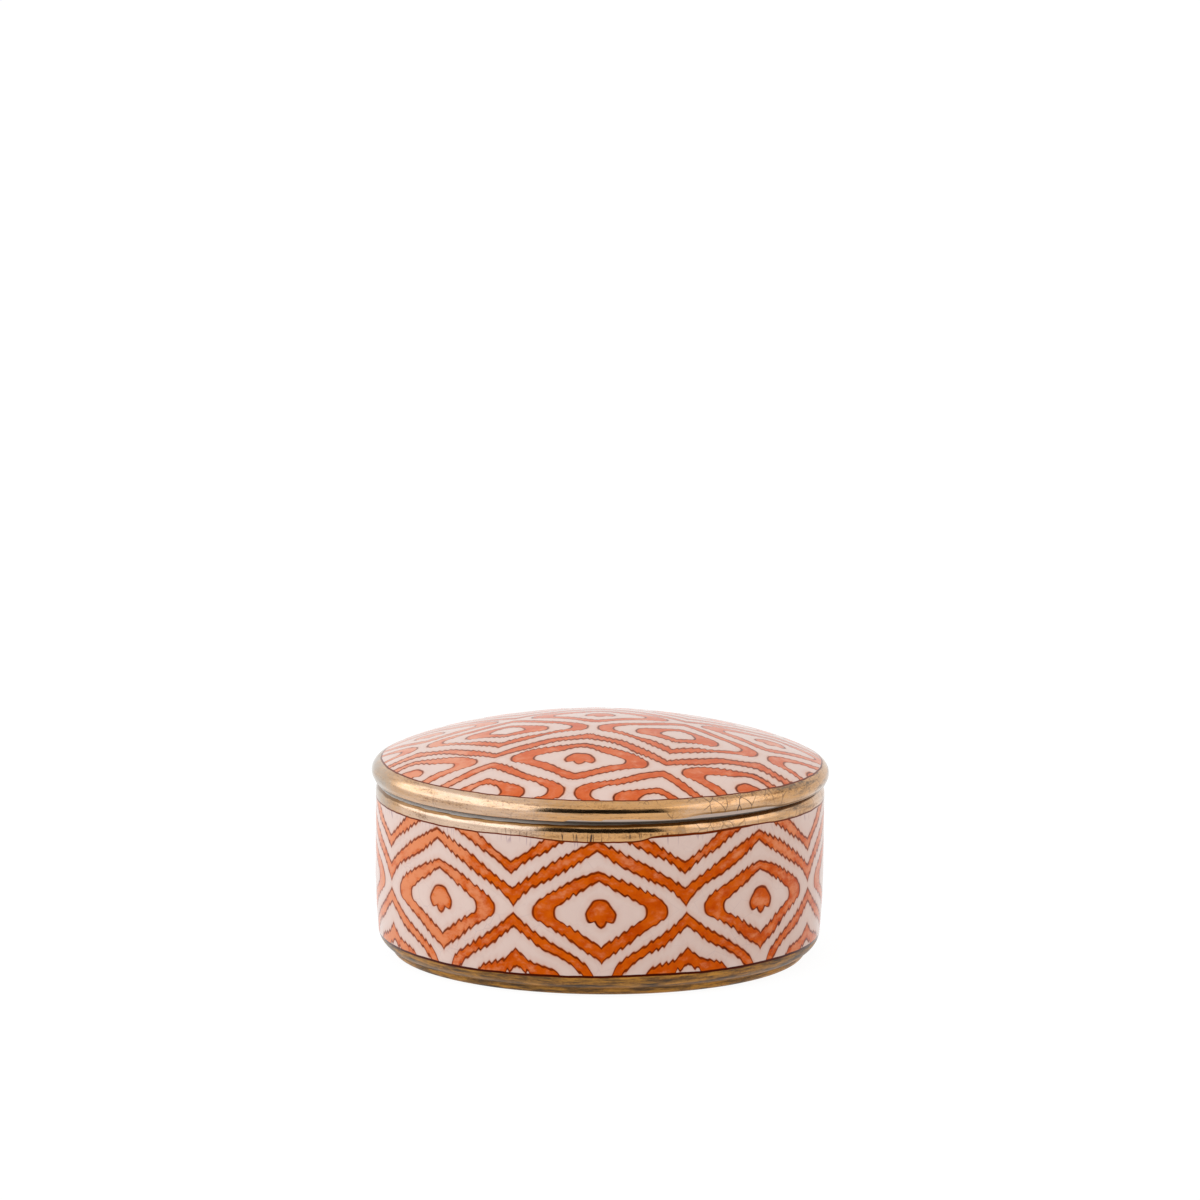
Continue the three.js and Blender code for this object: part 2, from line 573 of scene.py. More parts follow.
@dataclass(frozen=True)
class WallPattern:
    """The pattern on the bowl's wall: eight eyes in a net of zigzag bands. Degrees, millimetres."""

    repeats: int = 8
    first_eye: float = 0.4
    crowding: float = 0.0115  # how much the eyes close up in front, in degrees per millimetre
    slope: float = 0.006  # how much the rows climb to the right
    lean: float = 0.045  # how much the eyes lean to the left, in degrees per millimetre
    eye_height: float = 27.9
    crossing_height: float = 28.3
    millimetres_per_degree: float = WALL_RADIUS * math.pi / 180
    teeth: Serration = Serration()
    eye: Outline = Outline(
        (-90, 16.3), (-66, 13.3), (-45, 13.2), (-24, 15.4), (-9, 19.8), (0, 22.2),
        (7, 21.3), (18, 18.2), (34, 14.8), (60, 12.8), (77, 12.7), (90, 13.3),
    )
    white_of_eye: Outline = Outline(
        (-90, 11.2), (-54, 9.2), (-30, 10.4), (-12, 13.3), (0, 15.2),
        (12, 13.3), (30, 10.8), (53, 9.2), (75, 9.6), (90, 10.6),
    )
    bud: Outline = Outline(
        (-90, 4.2), (-74, 3.7), (-58, 3.0), (-49, 2.9), (-40, 4.2), (-34, 4.6), (-15, 4.75),
        (0, 4.8), (12, 4.5), (25, 4.2), (40, 4.1), (55, 4.35), (64, 4.45), (90, 4.4),
        sharp=True,
    )
    net: Stroke = Stroke(
        lower=Line(
            (0, 48.3), (3.7, 45.2), (7.5, 42.2), (12.9, 38.5),
            (17.7, 35.4), (20.5, 32.4), (22.5, 29.4),
        ),
        upper=Line((0, 51.2), (8.4, 46.2), (12.5, 43.2), (18, 38.8), (22.5, 34.9)),
    )
    valley: Stroke = Stroke(
        lower=Line((4, 54.5), (7.7, 51.6), (10.6, 49.6), (13.7, 47.1), (17, 45.3), (22.5, 40)),
        upper=Line((9, 55.8), (13.5, 51.5), (18, 47.3), (22.5, 43.8)),
    )
    arch: Stroke = Stroke(
        lower=Line(
            (3.6, 4.5), (5, 7.2), (7.2, 10.2), (11.2, 13.7),
            (15.8, 16.4), (19.3, 19.8), (22.5, 22.8),
        ),
        upper=Line(
            (1.2, 4), (2.2, 7), (3.6, 10.1), (6.3, 13.1),
            (9.8, 15.8), (14.1, 19), (18.6, 22.7), (22.5, 27),
        ),
    )
    low_arch: Stroke = Stroke(
        lower=Line(
            (15, 2), (18.9, 7), (19.6, 8.4), (20.3, 8.2),
            (21, 8.6), (21.7, 9.4), (22.5, 10),
            sharp=True,
        ),
        upper=Line((10, 4), (11, 7), (12.8, 9.1), (15.8, 10.3), (18.9, 11.5), (20, 12.5), (22.5, 15.4)),
    )

    def distance(self, place: Place) -> Field:
        """Returns how far outside the painted shapes a point of the wall is.

        Args:
            place: The point's place.

        Returns:
            The distance in millimetres, below 0 where the wall is painted.
        """
        drift = place.clouds(26, salt=1.7) * 0.45 + place.clouds(5, salt=3.1) * 0.1
        lift = place.clouds(22, salt=5.3) * 0.5 + place.clouds(5, salt=7.9) * 0.12
        turned = place.bearing() - self.first_eye + place.x * self.crowding
        turned = turned + (place.z - self.eye_height) * self.lean + drift / self.millimetres_per_degree
        width = 360 / self.repeats
        across = abs((turned / width + 0.5).past_whole() - 0.5) * width
        run = across * self.millimetres_per_degree
        level = place.z + lift - place.x * self.slope
        rough = self._teeth(place, run, level)
        rise = level - self.eye_height
        toothed = rough - self.eye_height
        painted = self.eye.ring(self.white_of_eye, run, toothed).least(self.bud.distance(run, rise))
        for stroke in (self.net, self.valley, self.arch, self.low_arch):
            painted = painted.least(stroke.distance(across, rough))
        return painted

    def _teeth(self, place: Place, run: Field, level: Field) -> Field:
        """Returns a point's height moved by the teeth, which die out at the crossings and the eye."""
        above = level - self.crossing_height
        wave = self.teeth.wave(run, abs(above) * 0.09 + place.clouds(9, salt=11.3) * 0.35)
        strength = place.clouds(9, salt=13.1).fade(-0.9, 0.7, 0.35, 1.35)
        open_edge = abs(above).fade(1.0, 5.5) * run.length_with(above).fade(5.8, 8.0)
        widest = 180 / self.repeats * self.millimetres_per_degree
        clean_point = run.fade(1.0, 3.4) * run.fade(widest - 0.3, widest - 1.8)
        return level - wave * strength * open_edge * clean_point * above.sign() * self.teeth.depth


@dataclass(frozen=True)
class LidPattern:
    """The pattern on the lid: rows of eyes and of double lozenges. Millimetres, seen from above."""

    column: float = 56.5
    row: float = 46.0
    slant: float = 0.135  # how far the columns lean to the right, going back
    shift: float = 0.74  # how far to the left the pattern lies
    tilt: float = 0.08  # how far the rows come forward to the right, on the lid's back half
    front_tilt: float = 0.175  # the same at the lid's front edge
    tilt_growth: float = 0.0022  # of the tilt, per millimetre towards the front
    teeth: Serration = Serration(pitch=1.9, depth=0.45)
    rows: Line = Line(  # the painter's rows aren't evenly spaced
        (-90, -46), (-67, -23), (-44, 0), (-14.8, 23), (3.5, 46), (27, 69), (50.5, 92), (74, 115), (90, 131),
    )
    eye: Outline = Outline(
        (-90, 15.2), (-78, 14.2), (-57, 12.6), (-37, 13.3), (-21, 15.5), (-10, 19.0), (0, 22.5),
        (10, 20.5), (18, 17.8), (27, 14.8), (41, 11.8), (62, 9.7), (90, 9.5),
    )
    white_of_eye: Outline = Outline(
        (-90, 10.9), (-67, 9.4), (-41, 9.3), (-20, 10.7), (-9, 13.6), (1, 15.2), (10, 13.4),
        (22, 10.4), (42, 7.9), (90, 7.4),
    )
    bud: Outline = Outline(
        (-90, 4.0), (-60, 3.0), (-46, 2.7), (-35, 4.9), (-15, 5.1), (4, 4.7), (27, 4.1), (47, 4.0), (90, 3.2),
        sharp=True,
    )
    net: Stroke = Stroke(
        lower=Line((0, 12.8), (4.6, 12), (7.5, 11.4), (12, 9.8), (17.5, 6.7), (22, 5), (28.25, 1.9)),
        upper=Line((0, 16.7), (4.7, 14.6), (8, 13.6), (12, 12.7), (17, 10.4), (22, 8.2), (28.25, 4.6)),
    )
    lozenge: Outline = Outline(
        (-90, 13.8), (-75, 12.5), (-56, 12.6), (-36, 14.1), (-23, 16.5), (-12, 21), (0, 26.5), (10, 24.8),
        (23, 20.5), (38, 17.6), (50, 17), (65, 17.9), (90, 21),
    )
    white_of_lozenge: Outline = Outline(
        (-90, 11), (-74, 9.8), (-60, 9.8), (-44, 10.5), (-30, 12.9), (-10, 18), (0, 21.3), (10, 19.4),
        (21, 17.2), (35, 14.4), (55, 13.8), (75, 15.2), (90, 17.3),
    )
    inner_lozenge: Outline = Outline(
        (-90, 6), (-65, 5.6), (-38, 6.8), (-20, 9.8), (-5, 13.6), (2, 13.5), (18, 11.6), (40, 9),
        (60, 8.4), (90, 9.6),
    )
    lozenge_middle: Outline = Outline(
        (-90, 3.2), (-45, 3.3), (-15, 4.8), (0, 5.8), (25, 5.6), (60, 5.7), (90, 6.2)
    )

    def distance(self, place: Place) -> Field:
        """Returns how far outside the painted shapes a point of the dome is.

        Args:
            place: The point's place.

        Returns:
            The distance in millimetres, below 0 where the dome is painted.
        """
        x = place.x + place.clouds(26, salt=21.7) * 0.4 + place.clouds(5, salt=23.3) * 0.1
        y = place.y + place.clouds(24, salt=25.1) * 0.4 + place.clouds(5, salt=27.9) * 0.1
        beside = x - y * self.slant + self.shift
        tilt = (self.tilt - y * self.tilt_growth).most(self.tilt).least(self.front_tilt)
        level = (y + tilt * beside).along(self.rows)
        run = abs(beside - (beside / self.column).nearest_whole() * self.column)
        rise = level - (level / self.row).nearest_whole() * self.row
        run_back = self.column / 2 - run
        rise_back = rise - rise.sign() * (self.row / 2)
        moved = self._teeth(place, run, rise, rise_back)
        toothed = rise + moved
        toothed_back = rise_back + moved
        painted = self.eye.ring(self.white_of_eye, run, toothed).least(self.bud.distance(run, rise))
        painted = painted.least(self.net.distance(run, toothed))
        painted = painted.least(self.inner_lozenge.ring(self.lozenge_middle, run_back, toothed_back))
        return painted.least(self.lozenge.ring(self.white_of_lozenge, run_back, toothed_back))

    def _teeth(self, place: Place, run: Field, rise: Field, rise_back: Field) -> Field:
        """Returns how far the teeth move a point, which is nothing at the middle of each row."""
        strength = place.clouds(11, salt=33.1).fade(-0.8, 0.6, 0.3, 1.3)
        open_edge = abs(rise).fade(1.0, 4.0) * abs(rise_back).fade(0.8, 3.0)
        wave = self.teeth.wave(run, abs(rise) * 0.1 + place.clouds(8, salt=31.3) * 0.35)
        return wave * strength * open_edge * rise.sign() * (-self.teeth.depth)


# Finishes


@dataclass(frozen=True)
class WhiteGlaze:
    """The glossy pinkish white ground, with faint mottling and hairline crazing."""

    colour: Rgba = linear(230, 201, 188)
    shade: Rgba = linear(222, 190, 177)
    light: Rgba = linear(236, 211, 200)
    craze: Rgba = linear(206, 178, 172)
    roughness: float = 0.16
    gloss: float = 0.14  # how strongly it mirrors
    waves: float = 0.012  # height of its slow waves where it is plain, in millimetres
    painted_waves: float = 0.03  # the same on a painted face
    ridges: float = 0.0008  # height of its fine ridges, in millimetres

    def ground(self, place: Place) -> Colour:
        """Returns the colour of the bare glaze.

        Args:
            place: Where the point is.

        Returns:
            The colour.
        """
        mottled = Colour.blend(
            place.tree, self.colour, self.shade, place.clouds(3.5, detail=3, rough=0.6).fade(0.2, 1.6)
        )
        mottled = mottled.under(self.light, place.clouds(9, detail=2, salt=41.0).fade(0.2, 1.6))
        cracks = place.crackle(5.2).fade(0.028, 0.008) * place.clouds(18, salt=43.0).fade(-0.4, 1.0)
        return mottled.under(self.craze, cracks * 0.55)


@dataclass(frozen=True)
class BareClay:
    """The clay of the foot's underside, which is wiped clean of glaze."""

    colour: Rgba = linear(222, 208, 192)
    shade: Rgba = linear(196, 180, 162)
    roughness: float = 0.85
    waves: float = 0.01  # height of its slow waves, in millimetres
    ridges: float = 0.006  # height of its grain, in millimetres

    def ground(self, place: Place) -> Colour:
        """Returns the colour of the clay.

        Args:
            place: Where the point is.

        Returns:
            The colour.
        """
        grain = place.clouds(0.8, detail=3, salt=75.0)
        return Colour.blend(place.tree, self.colour, self.shade, grain.fade(0.0, 1.5))


@dataclass(frozen=True)
class OrangeWash:
    """The watery orange enamel inside a thin brown outline drawn with a pen."""

    deep: Rgba = linear(192, 64, 0)
    middle: Rgba = linear(218, 94, 8)
    pale: Rgba = linear(234, 146, 100)
    stain: Rgba = linear(196, 104, 40)
    outline: Rgba = linear(128, 42, 0)
    dark_outline: Rgba = linear(84, 18, 0)
    sheen: Rgba = (1.0, 0.4, 0.06, 1.0)  # the colour of its gloss
    outline_width: float = 0.6
    bleed_start: float = 0.3  # where the outline starts to run into the white, in millimetres
    bleed: float = 0.75  # how far it runs
    bleed_strength: float = 0.52
    halo: float = 2.6  # how far its faintest stain runs
    halo_strength: float = 0.18
    paler_at_back: float = 0.0  # how much paler the wash is towards the back
    thin_at_top: float = 0.35  # how much it is thinned high on the wall
    thinning_and_side_light: Line = Line(  # how much paler the wash is across the box: partly thinner paint, partly painted light at the sides
        (-75, 0.8), (-69, 0.8), (-52, 0.75), (-34, 0.25), (-13, 0), (37, 0.05), (56, 0.3), (75, 0.5)
    )

    def laid_on(self, ground: Colour, place: Place, distance: Field) -> Colour:
        """Paints the pattern.

        Args:
            ground: The colour under the paint.
            place: Where the point is.
            distance: How far outside the painted shapes it is, in millimetres.

        Returns:
            The colour with wash and outline on it.
        """
        tree = place.tree
        pools = place.clouds(5, detail=4, rough=0.65, salt=51.0).fade(-0.7, 0.9)
        # Paler towards the sides: partly thinner wash, partly painted light
        side_thinning_and_light = place.x.along(self.thinning_and_side_light)
        streaks = place.clouds(5, detail=4, rough=0.65, flat=1.8, salt=53.0)
        back = place.y.fade(0, 65, 0.0, self.paler_at_back) * place.x.fade(-30, 20, 1.35, 1.0)
        high = place.z.fade(34, 52, 0.0, self.thin_at_top)
        middle = distance.fade(-0.4, -1.8, 0.0, 0.45)
        thin = (streaks + side_thinning_and_light * 1.3 + middle + back + high).fade(0.2, 1.6)
        wash = Colour.blend(tree, self.middle, self.deep, pools).under(self.pale, thin * 0.85)
        runny = place.clouds(5, detail=2, salt=55.0).fade(-0.8, 1.2, 0.5, 1.3)
        halo = distance.fade(self.halo, self.bleed_start) * self.halo_strength
        bleed = (halo + distance.fade(self.bleed, self.bleed_start) * self.bleed_strength) * runny
        slip = place.clouds(3.5, salt=56.0) * 0.3
        covered = (distance + slip).fade(0.1, -0.12)
        pen = place.clouds(3, salt=57.0).fade(-1.2, 1.2, 0.75, 1.25) * (self.outline_width / 2)
        drawn = (abs(distance) - pen).fade(0.12, -0.12)
        ink = Colour.blend(tree, self.outline, self.dark_outline, place.clouds(4, salt=59.0).fade(0.0, 1.2))
        inked = drawn * (1.0 - side_thinning_and_light * 0.1 - back * 0.35)
        return ground.under(self.stain, bleed).under(wash, covered).under(ink, inked)


def upright_cracks(place: Place) -> Field:
    """Returns fine cracks that run up the wall, from 0 to 1."""
    patches = place.clouds(6, detail=2, salt=69.0).fade(-0.5, 0.5)
    return place.crackle(2.6, tall=9).fade(0.045, 0.014) * patches


@dataclass(frozen=True)
class GoldLustre:
    """Gold fired onto the glaze, brushed on round the box, crackled, and tarnished in places."""

    gold: Rgba = linear(210, 160, 106)
    foot_gold: Rgba = linear(194, 136, 58)
    foot_line: Rgba = linear(68, 6, 0)
    cream: Rgba = linear(218, 188, 164)
    brown: Rgba = linear(126, 78, 34)
    soot: Rgba = linear(74, 58, 44)
    thin: Rgba = linear(118, 78, 28)
    tarnish: Rgba = linear(112, 94, 78)
    grey: Rgba = linear(160, 158, 150)
    crack: Rgba = linear(60, 40, 38)
    roughness: float = 0.13
    worn_roughness: float = 0.36
    ridges: float = 0.004  # height of the ridges that the brush leaves, in millimetres

    def colour(self, place: Place, gilding: "Gilding") -> Colour:
        """Returns the colour of the gold.

        Args:
            place: Where the point is.
            gilding: How the gold lies.

        Returns:
            The colour.
        """
        strokes = place.clouds(16, detail=4, rough=0.65, flat=9, salt=61.0)
        grain = place.clouds(0.9, detail=2, rough=0.7, flat=1.6, salt=62.0)
        # The cream is partly worn gold and partly a painted highlight
        cream = gilding.cream + strokes * 0.22 + grain * 0.25
        metal = Colour.blend(place.tree, gilding.metal, self.cream, cream.fade(0.0, 1.0))
        dull = (strokes * -1.0 + grain * 0.8).fade(-0.1, 1.3)
        metal = metal.under(self.brown, dull * 0.85)
        brush = place.clouds(14, detail=4, rough=0.75, flat=9, salt=66.0)
        metal = metal.under(self.soot, brush.fade(-0.6, 0.6) * gilding.streaked)
        blotch = place.clouds(14, detail=5, rough=0.75, flat=7, salt=63.0) + gilding.worn * 1.3
        metal = metal.under(self.tarnish, blotch.fade(1.0, 1.7) * 0.85)
        pits = place.clouds(1.5, detail=3, rough=0.7, flat=1.4, salt=68.0)
        metal = metal.under(self.soot, pits.fade(0.0, 0.8) * gilding.pitted)
        left_end = (place.clouds(6, detail=4, rough=0.65, salt=64.0) * 5.0 - place.x).fade(64, 76)
        return metal.under(self.grey, left_end * 0.75).under(self.thin, gilding.thin)

    def cracks(self, place: Place, upright: Number) -> Field:
        """Returns where dark cracks run through the gold.

        Args:
            place: Where the point is.
            upright: How clear the upright cracks are there, from 0 to 1.

        Returns:
            The cracks, from 0 to 1.
        """
        apart = place.crackle(4.4, tall=1.5) + place.clouds(1.5, salt=65.0) * 0.008
        patches = place.clouds(12, detail=1, salt=67.0) + place.x.fade(5, 34, -0.6, 0.3)
        patches = patches - place.x.fade(50, 66, 0.0, 0.2)
        # Faint on the foot, clearer on the band and clearest on the lid's bead
        clear = place.z.fade(20, 21, 0.2, 0.35) * place.z.fade(57, 58, 1.0, 2.1)
        net = apart.fade(0.042, 0.014) * patches.fade(-0.2, 0.6) * clear
        return net.most(upright_cracks(place) * upright)


@dataclass(frozen=True)
class Gilding:
    """Where the gold lies on a piece and how, and the brown line that borders it.

    Each amount is mostly from 0 to 1.
    """

    metal: Rgba
    gold: Field
    border: Field
    thin: Number  # where it is thin and brown
    cream: Field  # where it turns cream: partly worn gold and partly a painted highlight
    worn: Field  # how much of it has dull grey strokes
    cracked: Number = 0.0  # how clear the upright cracks in it are
    streaked: float = 0.2  # how dark the streaks of the brush are
    pitted: Number = 0.0  # how dark its pits are
    shine: float = 1.0  # how much of it mirrors
    line: Rgba = linear(104, 32, 0)  # the border's colour


@dataclass(frozen=True)
class StainAndShade:
    """A colour laid over the glaze: a stain, as under the band, or painted shade, as on the lip and in the
    seam between lid and bowl.
    """

    amount: Field
    colour: Rgba


@dataclass(frozen=True)
class StainAndShadeColours:
    """Colours laid over the glaze: the stain seeping from the cracks under the band, and painted shade on the
    lip, under the bead and in the seam.
    """

    shaded_lip: Rgba = linear(172, 172, 166)
    darker_lip_shade: Rgba = linear(92, 82, 68)
    seeped: Rgba = linear(160, 124, 136)
    bead_underside_shade: Rgba = linear(190, 176, 162)
    seam: Rgba = linear(50, 44, 38)


class GlazeMaterial:
    """The material of a face: white ground, painted pattern, gold bands and the surface's waviness."""

    white = WhiteGlaze()
    lustre = GoldLustre()
    overlay_colours = StainAndShadeColours()

    def __init__(self, name: str, orange: OrangeWash = OrangeWash()) -> None:
        """Makes an empty material.

        Args:
            name: Its name.
            orange: The paint of its pattern.
        """
        self.orange = orange
        self.material = bpy.data.materials.new(name)
        self.material.use_nodes = True
        self.tree = self.material.node_tree
        self.shader = next(node for node in self.tree.nodes if node.type == "BSDF_PRINCIPLED")
        self.shader.inputs["Specular IOR Level"].default_value = self.white.gloss
        self.place = Place.of(self.tree)

    def _surface(self, waves: float, ridges: Number) -> None:
        """Gives the surface its waviness.

        Args:
            waves: Height of its slow waves, in millimetres.
            ridges: Height of its fine ridges, in millimetres.
        """
        height = self.place.clouds(9, detail=1.5, rough=0.45, flat=0.8, salt=71.0) * waves
        height = height + self.place.clouds(26, flat=3, salt=72.0) * (waves * 2.5)
        height = height + self.place.clouds(1.6, detail=2, flat=3, salt=73.0) * ridges
        bump = self.tree.nodes.new("ShaderNodeBump")
        bump.inputs["Distance"].default_value = MM
        feed(height, bump.inputs["Height"])
        self.tree.links.new(bump.outputs["Normal"], self.shader.inputs["Normal"])

    def plain(self, finish: Union[WhiteGlaze, BareClay]) -> bpy.types.Material:
        """Dresses a face that has one finish and nothing on it.

        Args:
            finish: The finish.

        Returns:
            The material.
        """
        ground = finish.ground(self.place)
        self.tree.links.new(ground.socket, self.shader.inputs["Base Color"])
        self.shader.inputs["Roughness"].default_value = finish.roughness
        self._surface(finish.waves, finish.ridges)
        return self.material

    def painted(self, distance: Field, gildings: list[Gilding], overlays: list[StainAndShade]) -> bpy.types.Material:
        """Dresses a face with the pattern and the gold bands.

        Args:
            distance: How far outside the painted shapes a point is, in millimetres.
            gildings: The gold bands.
            overlays: The stains and the painted shade, from the bottom layer up.

        Returns:
            The material.
        """
        colour = self.orange.laid_on(self.white.ground(self.place), self.place, distance)
        # Lays on the stains and the painted shade, bottom layer first
        for overlay in overlays:
            colour = colour.under(overlay.colour, overlay.amount)
        all_gold: Number = 0.0
        lined: Number = 0.0
        metallic: Number = 0.0
        matt: Number = 0.0
        for gilding in gildings:
            cracks = self.lustre.cracks(self.place, gilding.cracked)
            metal = self.lustre.colour(self.place, gilding).under(self.lustre.crack, cracks)
            colour = colour.under(gilding.line, gilding.border).under(metal, gilding.gold)
            all_gold = gilding.gold + all_gold
            lined = gilding.border + lined
            metallic = gilding.gold * (1.0 - cracks) * gilding.shine + metallic
            matt = gilding.gold * (gilding.cream.most(0.0) * 0.1 + (1.0 - gilding.shine) * 0.5) + matt
        worn = self.place.clouds(13, detail=4, rough=0.6, flat=9, salt=77.0).fade(-0.2, 1.6)
        gold_roughness = worn * (self.lustre.worn_roughness - self.lustre.roughness) + self.lustre.roughness
        roughness = all_gold * (gold_roughness - self.white.roughness) + self.white.roughness
        drawn = distance.fade(0.4, 0.2).most(lined) * (1.0 - all_gold)
        sheen = Colour.blend(self.tree, WHITE, self.orange.sheen, drawn)
        self.tree.links.new(sheen.socket, self.shader.inputs["Specular Tint"])
        self.tree.links.new(colour.socket, self.shader.inputs["Base Color"])
        feed(metallic, self.shader.inputs["Metallic"])
        feed(roughness + matt, self.shader.inputs["Roughness"])
        self._surface(self.white.painted_waves, all_gold * self.lustre.ridges + self.white.ridges)
        return self.material


# The two pieces


@dataclass(frozen=True)
class Bowl:
    """The bowl on its foot ring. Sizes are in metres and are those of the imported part."""

    wall_radius: float = WALL_RADIUS * MM
    height: float = MOUTH_HEIGHT * MM
    draw_in: float = 0.95 * MM  # how much narrower the wall is at the heel
    full_height: float = 30 * MM  # where the wall reaches its full radius
    heel_radius: float = 6.5 * MM
    mouth_edge: float = 3.7 * MM
    wall_thickness: float = 5.4 * MM
    floor_height: float = 8 * MM
    floor_corner: float = 9 * MM
    inner_edge: float = 0.9 * MM
    foot_inset: float = 4.5 * MM
    foot_height: float = 2.3 * MM
    foot_width: float = 6.4 * MM
    foot_outer_edge: float = 1.9 * MM
    foot_inner_edge: float = 0.9 * MM
    recess_depth: float = 3 * MM
    recess_corner: float = 1.4 * MM
    gold_edge: Line = Line(  # height of the band's lower edge across the box, in millimetres
        (-74, 52.3), (-60, 52.3), (-45, 52.3), (-27, 52.4), (-15, 51.7), (0, 51.4), (12, 51.7),
        (20, 53.2), (35, 53.4), (46, 53.85), (58, 53.3), (74, 52.9),
    )
    line_width: Line = Line(  # width of the brown line under the band, in millimetres
        (-74, 0.5), (-52, 0.5), (-40, 0.45), (-5, 0.5), (14, 0.5), (20, 0.8), (45, 0.8), (52, 0.5),
        (74, 0.5),
    )
    gold_top: Line = Line(  # height of the band's upper edge across the box, in millimetres
        (-74, 56.1), (-30, 56.2), (0, 56.5), (20, 56.7), (45, 56.9), (74, 57.3)
    )
    foot_edge: Line = Line(  # height of the brown line over the foot's gold, across the box
        (-74, 7.3), (-56, 7.2), (-43, 6.95), (-30, 7.15), (0, 7.45),
        (20, 7.8), (36, 7.6), (56, 7.85), (74, 7.8),
    )
    cream: Line = Line(  # how far the band turns cream across the box: worn gold, and on the left a painted highlight
        (-74, 0.1), (-68, 0.2), (-62, 0.75), (-45, 1.0), (-24, 0.9), (-14, 0.15), (20, 0.05),
        (32, 0.4), (50, 0.4), (58, 0.3), (68, 0.3), (71, 0.7), (74, 0.6),
    )
    worn: Line = Line(  # how much of the band has dull grey strokes across the box
        (-74, 0.5), (-60, 0.25), (-45, 0.6), (-20, 0.5), (30, 0.25),
        (55, 0.6), (68, 0.8), (71, 0.2), (74, 0.2),
    )
    pattern_top: Point = (54.0, 54.1)  # heights over which the pattern ends, in millimetres
    shaded_lip: Point = (54.9, 55.5)  # heights over which the lip's painted shade starts
    darker_lip_shade: Point = (-34, 0)  # over which the lip's painted shade darkens, going to the right
    seam: Point = (56.85, 57.15)  # heights over which the painted shade under the lid starts
    seam_shade_radii: Point = (70.9, 71.2)
    seeping: Point = (-3.4, -1.2)  # over which the cracks under the band darken, from its lower edge
    cracks_start: Point = (-36, -26)  # over which the band's upright cracks start, going to the right
    cracks_end: Point = (34, 22)
    cracks_top: Point = (54.2, 53.4)
    foot_gap: Point = (-0.7, -0.9)  # from the foot's brown line down to its gold

    @property
    def heel_wall(self) -> float:
        """Radius of the wall where it turns into the heel."""
        return self.wall_radius - self.draw_in

    @property
    def foot_radius(self) -> float:
        """Outer radius of the foot ring."""
        return self.heel_wall - self.foot_inset

    @property
    def mouth_radius(self) -> float:
        """Radius of the opening."""
        return self.wall_radius - self.wall_thickness

    def _heel_height(self) -> float:
        """Returns the height of the heel's centre."""
        reach = self.foot_radius - (self.heel_wall - self.heel_radius)
        return self.foot_height + math.sqrt(self.heel_radius**2 - reach**2)

    def _draw_underside(self, piece: TurnedPiece) -> None:
        """Draws the recess and the foot ring's resting face.

        Args:
            piece: The piece being drawn.
        """
        inner = self.foot_radius - self.foot_width
        corner = self.recess_corner
        piece.line_to(inner - corner, self.recess_depth)
        piece.round_corner((inner - corner, self.recess_depth - corner), -QUARTER, steps=6)
        piece.line_to(inner, self.foot_inner_edge)
        piece.turn(Surface.PLAIN)
        piece.round_corner((inner + self.foot_inner_edge, self.foot_inner_edge), QUARTER, steps=6)
        piece.line_to(self.foot_radius - self.foot_outer_edge, 0)
        piece.turn(Surface.BISQUE)

    def _draw_outside(self, piece: TurnedPiece) -> None:
        """Draws the heel, the wall and the rounding of the mouth.

        Args:
            piece: The piece being drawn.
        """
        edge = self.foot_outer_edge
        heel_centre = (self.heel_wall - self.heel_radius, self._heel_height())
        mouth_centre = (self.wall_radius - self.mouth_edge, self.height - self.mouth_edge)
        start = math.acos((self.foot_radius - heel_centre[0]) / self.heel_radius)
        piece.round_corner((self.foot_radius - edge, edge), QUARTER, steps=12)
        piece.line_to(self.foot_radius, self.foot_height)
        piece.round_corner(heel_centre, start, steps=18)
        self._draw_wall(piece, heel_centre[1])
        piece.line_to(self.wall_radius, mouth_centre[1])
        piece.round_corner(mouth_centre, QUARTER, steps=14)
        piece.turn(Surface.PAINTED)

    def _draw_wall(self, piece: TurnedPiece, low: float) -> None:
        """Draws the wall's slow curve upwards, from the heel to where it is straight.

        Args:
            piece: The piece being drawn.
            low: Height of the curve's lower end.
        """
        radius = self.heel_wall
        reach = self.wall_radius - radius
        rise = self.full_height - low
        piece.curve(lambda share: (radius + reach * (1 - (1 - share) ** 2), low + rise * share), steps=12)

    def _draw_inside(self, piece: TurnedPiece) -> None:
        """Draws the inside, from the mouth down to the middle of the floor.

        Args:
            piece: The piece being drawn.
        """
        edge = self.inner_edge
        corner = self.floor_corner
        low_radius = self.heel_wall - self.wall_thickness
        low = self.floor_height + corner
        piece.line_to(self.mouth_radius + edge, self.height)
        piece.round_corner((self.mouth_radius + edge, self.height - edge), QUARTER, steps=6)
        piece.line_to(self.mouth_radius, self.full_height)
        radius = self.mouth_radius
        reach = low_radius - radius
        top = self.full_height
        piece.curve(lambda share: (radius + reach * share**2, top + (low - top) * share), steps=8)
        piece.round_corner((low_radius - corner, low), -QUARTER, steps=16)
        piece.line_to(0, self.floor_height)
        piece.turn(Surface.PLAIN)

    def build(self) -> bpy.types.Object:
        """Models the bowl.

        Returns:
            The bowl.
        """
        piece = TurnedPiece(0, self.recess_depth)
        self._draw_underside(piece)
        self._draw_outside(piece)
        self._draw_inside(piece)
        return piece.finished("painted_bowl")

